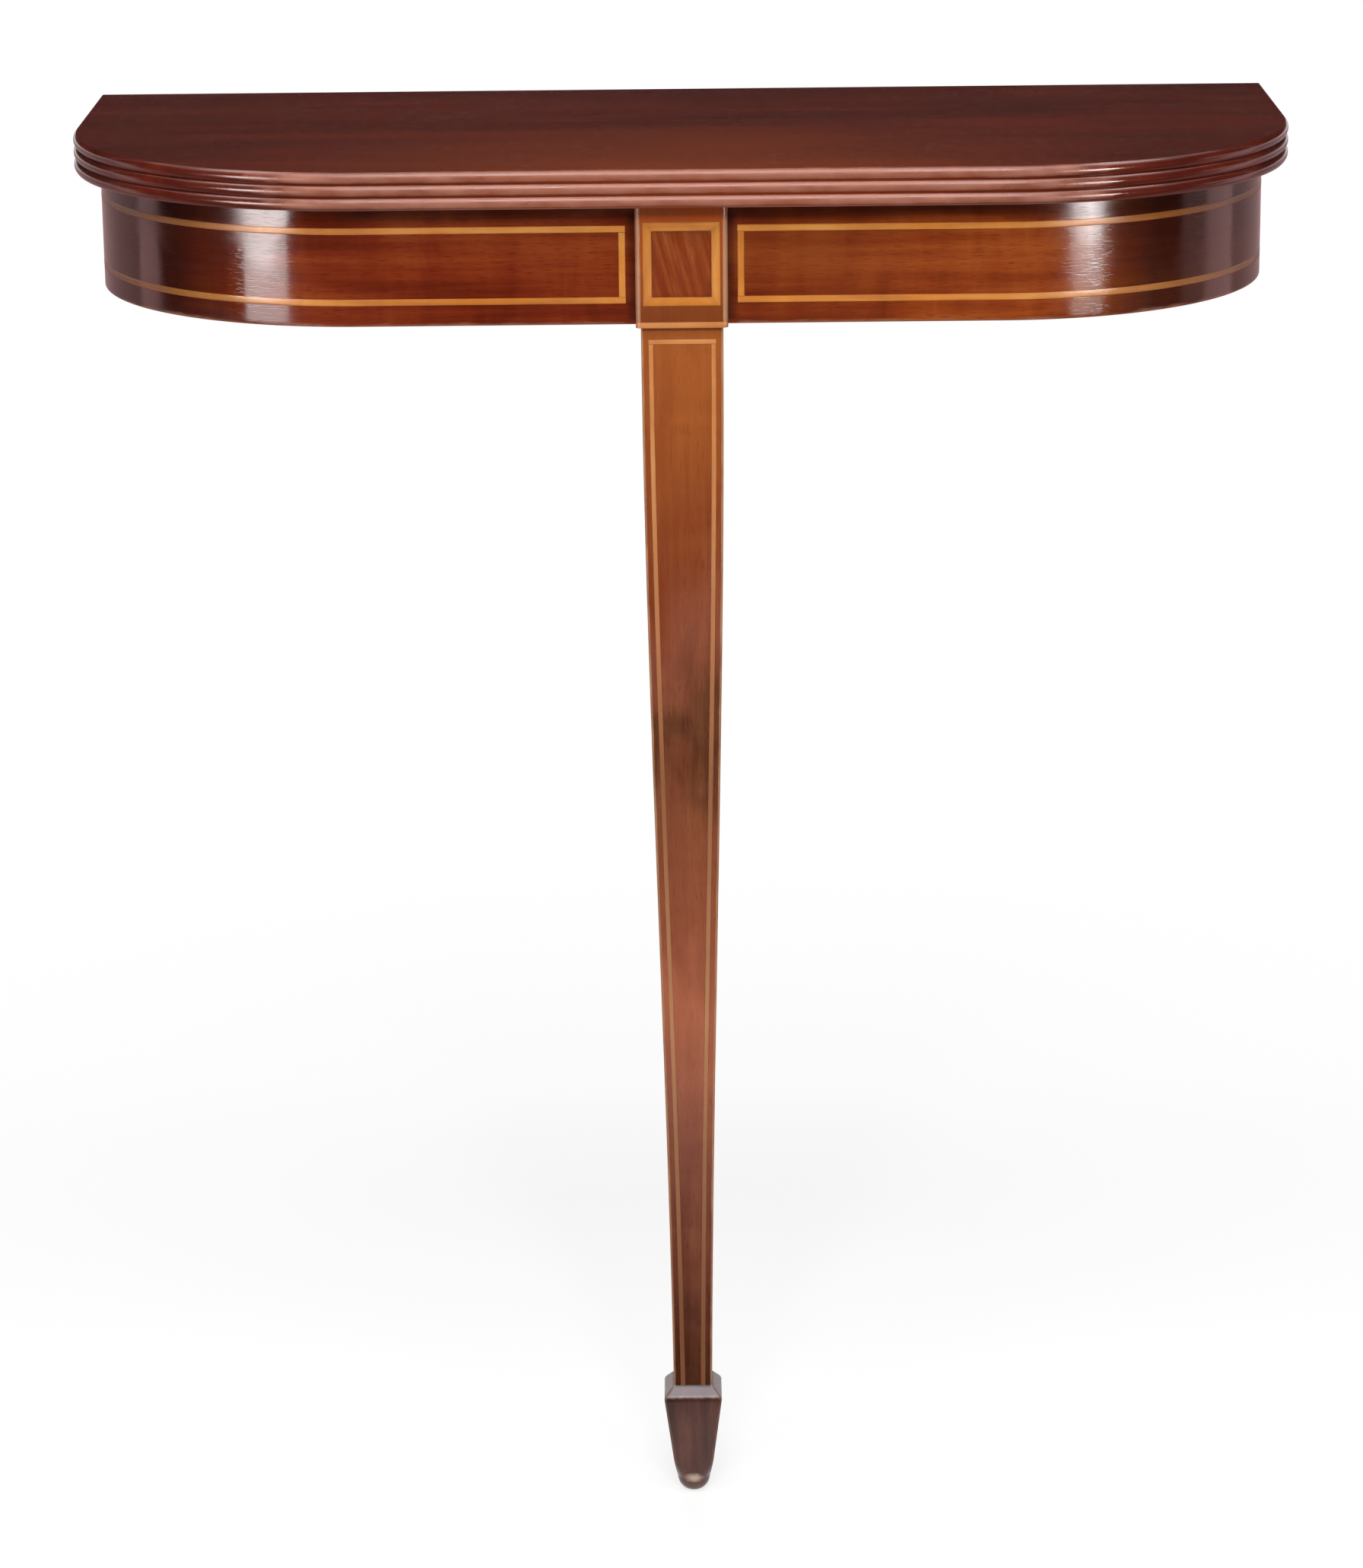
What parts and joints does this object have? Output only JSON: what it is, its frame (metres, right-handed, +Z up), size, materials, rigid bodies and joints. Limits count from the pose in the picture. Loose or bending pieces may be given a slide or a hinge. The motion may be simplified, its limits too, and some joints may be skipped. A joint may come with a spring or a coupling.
{
  "type": "wall console table",
  "caption": "D-shaped wall table with a reeded top, a string-inlaid curved frieze and a single tapered front leg on a spade foot.",
  "frame": {"origin": "on the floor, under the middle of the top board's plan box", "axes": "+X to the right seen from the front, +Y towards the wall, +Z up"},
  "size_m": [0.66, 0.285, 0.75],
  "materials": {
    "mahogany_top": "polished mahogany, dark and red, with a reeded edge",
    "mahogany_veneer": "polished mahogany veneer",
    "mahogany_leg": "polished mahogany, faded to orange brown",
    "figured_tablet": "polished figured mahogany veneer",
    "stained_foot": "dark stained and polished hardwood",
    "boxwood_string": "polished pale stringing, mellowed to tan",
    "pine_core": "sawn softwood, unpolished",
    "rail_softwood": "planed softwood, unpolished and darkened",
    "beech_peg": "plain turned hardwood"
  },
  "bodies": {
    "root": {"back_rail": "rail_softwood", "brick_lower_centre": "pine_core", "brick_lower_left": "pine_core", "brick_lower_left_end": "pine_core", "brick_lower_right": "pine_core", "brick_lower_right_end": "pine_core", "brick_middle_centre": "pine_core", "brick_middle_left": "pine_core", "brick_middle_left_end": "pine_core", "brick_middle_right": "pine_core", "brick_middle_right_end": "pine_core", "brick_upper_centre": "pine_core", "brick_upper_left": "pine_core", "brick_upper_left_end": "pine_core", "brick_upper_right": "pine_core", "brick_upper_right_end": "pine_core", "cuff_string": "boxwood_string", "fixing_blocks": "pine_core", "frieze_string_left_leg_end": "boxwood_string", "frieze_string_left_lower": "boxwood_string", "frieze_string_left_upper": "boxwood_string", "frieze_string_left_wall_end": "boxwood_string", "frieze_string_right_leg_end": "boxwood_string", "frieze_string_right_lower": "boxwood_string", "frieze_string_right_upper": "boxwood_string", "frieze_string_right_wall_end": "boxwood_string", "frieze_veneer_left": "mahogany_veneer", "frieze_veneer_right": "mahogany_veneer", "leg": "mahogany_leg", "leg_pegs": "beech_peg", "leg_string_left": "boxwood_string", "leg_string_right": "boxwood_string", "leg_string_top": "boxwood_string", "spade_foot": "stained_foot", "tablet_panel": "figured_tablet", "tablet_string_bottom": "boxwood_string", "tablet_string_left": "boxwood_string", "tablet_string_right": "boxwood_string", "tablet_string_top": "boxwood_string", "top_board": "mahogany_top"}
  },
  "joints": []
}
